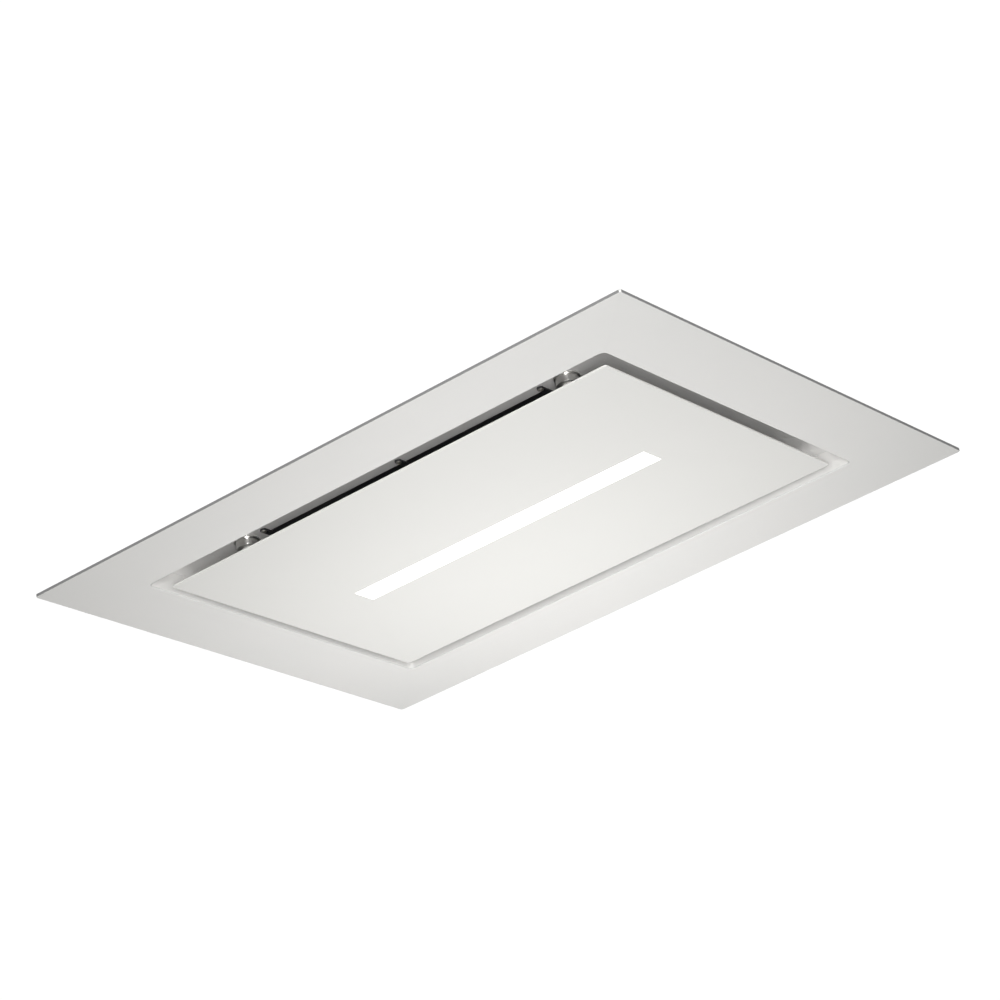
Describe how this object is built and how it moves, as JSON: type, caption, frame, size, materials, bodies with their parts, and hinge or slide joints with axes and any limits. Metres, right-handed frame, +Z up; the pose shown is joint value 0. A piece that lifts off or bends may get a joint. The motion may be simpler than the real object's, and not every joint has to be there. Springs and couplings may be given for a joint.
{
  "type": "ceiling range hood",
  "caption": "White flush ceiling range hood with a hinged edge-suction panel, light strip, grease filters, blower and duct collar.",
  "frame": {"origin": "centre of the four ceiling screws, in the top face of the ceiling flange, which lies on the ceiling's underside", "axes": "+X along the long side towards the duct collar, +Y from the catch side to the hinge side, +Z up into the ceiling"},
  "size_m": [1, 0.75, 0.3004],
  "materials": {
    "white_powder_coat": "satin, very fine powder texture",
    "galvanised_sheet": "galvanised, matte with faint spangle",
    "grey_tray_paint": "satin pale grey coat",
    "black_filter_paint": "matte black coat",
    "bright_chrome": "polished",
    "screw_steel": "zinc plated",
    "dark_steel": "blackened",
    "panel_back_aluminium": "plain rolled sheet",
    "led_channel_aluminium": "extruded, satin",
    "opal_diffuser": "opal, light passes through it",
    "circuit_board": "green solder mask",
    "black_plastic": "moulded, fine grain",
    "white_plastic": "moulded, smooth",
    "magnet_black": "flexible magnet strip",
    "volute_plastic": "moulded, dark grey",
    "collar_plastic": "moulded, black",
    "impeller_steel": "galvanised blades",
    "motor_aluminium": "die cast",
    "bush_rubber": "matte",
    "flap_aluminium": "plain sheet"
  },
  "bodies": {
    "hood": {"blower_deck": "galvanised_sheet", "cable_gland": "black_plastic", "casing_shell": "galvanised_sheet", "casing_skirt": "galvanised_sheet", "casing_top": "galvanised_sheet", "catch_body_left": "bright_chrome", "catch_body_right": "bright_chrome", "catch_spring_left": "screw_steel", "catch_spring_right": "screw_steel", "ceiling_flange": "galvanised_sheet", "clip_screws": "dark_steel", "control_board": "circuit_board", "control_box": "galvanised_sheet", "control_lid": "galvanised_sheet", "damper_pin": "screw_steel", "fascia_frame": "white_powder_coat", "fascia_magnets": "magnet_black", "filter_frame_left": "black_filter_paint", "filter_frame_right": "black_filter_paint", "filter_mesh_left": "black_filter_paint", "filter_mesh_right": "black_filter_paint", "hanger_bolts": "screw_steel", "hanger_brackets": "galvanised_sheet", "hinge_arm_left": "screw_steel", "hinge_arm_right": "screw_steel", "hinge_pins": "screw_steel", "inlet_ring": "galvanised_sheet", "led_driver": "white_plastic", "motor_bearings": "bright_chrome", "motor_body": "motor_aluminium", "motor_bushes": "bush_rubber", "motor_cap": "motor_aluminium", "motor_screws": "screw_steel", "motor_stator": "dark_steel", "outlet_adapter": "volute_plastic", "outlet_collar": "collar_plastic", "recess_tray": "grey_tray_paint", "run_capacitor": "white_plastic", "sheet_screws": "screw_steel", "terminal_block": "white_plastic", "volute_shell": "volute_plastic"},
    "panel": {"panel_skin": "white_powder_coat", "panel_back": "panel_back_aluminium", "panel_ribs": "galvanised_sheet", "led_channel": "led_channel_aluminium", "led_diffuser": "opal_diffuser", "led_board": "circuit_board", "hinge_leaves": "screw_steel", "strikers": "black_plastic"},
    "fan": {"impeller_blades": "impeller_steel", "impeller_discs": "impeller_steel", "motor_shaft": "screw_steel", "motor_rotor": "dark_steel"},
    "flap_front": {"damper_flap_front": "flap_aluminium"},
    "flap_rear": {"damper_flap_rear": "flap_aluminium"},
    "clip_left": {"filter_clip_left": "dark_steel"},
    "clip_middle": {"filter_clip_middle": "dark_steel"},
    "clip_right": {"filter_clip_right": "dark_steel"},
    "plunger_left": {"catch_plunger_left": "black_plastic"},
    "plunger_right": {"catch_plunger_right": "black_plastic"}
  },
  "joints": [
    {"name": "panel_hinge", "type": "hinge", "parent": "hood", "child": "panel", "pos_m": [0, 0.236, 0.0155], "axis": [1, 0, 0], "range_deg": [0, 90]},
    {"name": "fan_spin", "type": "hinge", "parent": "hood", "child": "fan", "pos_m": [0, 0.02, 0.125], "axis": [0, 0, 1], "continuous": true},
    {"name": "damper_front_hinge", "type": "hinge", "parent": "hood", "child": "flap_front", "pos_m": [0.429, -0.12633, 0.1492], "axis": [0, 0, 1], "range_deg": [0, 75], "stiffness_Nm_per_rad": 0.01, "springref_deg": -8.59},
    {"name": "damper_rear_hinge", "type": "hinge", "parent": "hood", "child": "flap_rear", "pos_m": [0.429, -0.12633, 0.1492], "axis": [0, 0, -1], "range_deg": [0, 75], "stiffness_Nm_per_rad": 0.01, "springref_deg": -8.59},
    {"name": "clip_left_turn", "type": "hinge", "parent": "hood", "child": "clip_left", "pos_m": [-0.2405, -0.198, 0.0345], "axis": [0, 0, 1], "range_deg": [0, 90]},
    {"name": "clip_middle_turn", "type": "hinge", "parent": "hood", "child": "clip_middle", "pos_m": [0, -0.198, 0.0345], "axis": [0, 0, 1], "range_deg": [0, 90]},
    {"name": "clip_right_turn", "type": "hinge", "parent": "hood", "child": "clip_right", "pos_m": [0.2405, -0.198, 0.0345], "axis": [0, 0, -1], "range_deg": [0, 90]},
    {"name": "catch_left_press", "type": "slide", "parent": "hood", "child": "plunger_left", "axis": [0, 0, 1], "range_m": [0, 0.004], "stiffness_N_per_m": 400, "springref_m": -0.003, "deforming": ["catch_spring_left"]},
    {"name": "catch_right_press", "type": "slide", "parent": "hood", "child": "plunger_right", "axis": [0, 0, 1], "range_m": [0, 0.004], "stiffness_N_per_m": 400, "springref_m": -0.003, "deforming": ["catch_spring_right"]}
  ]
}
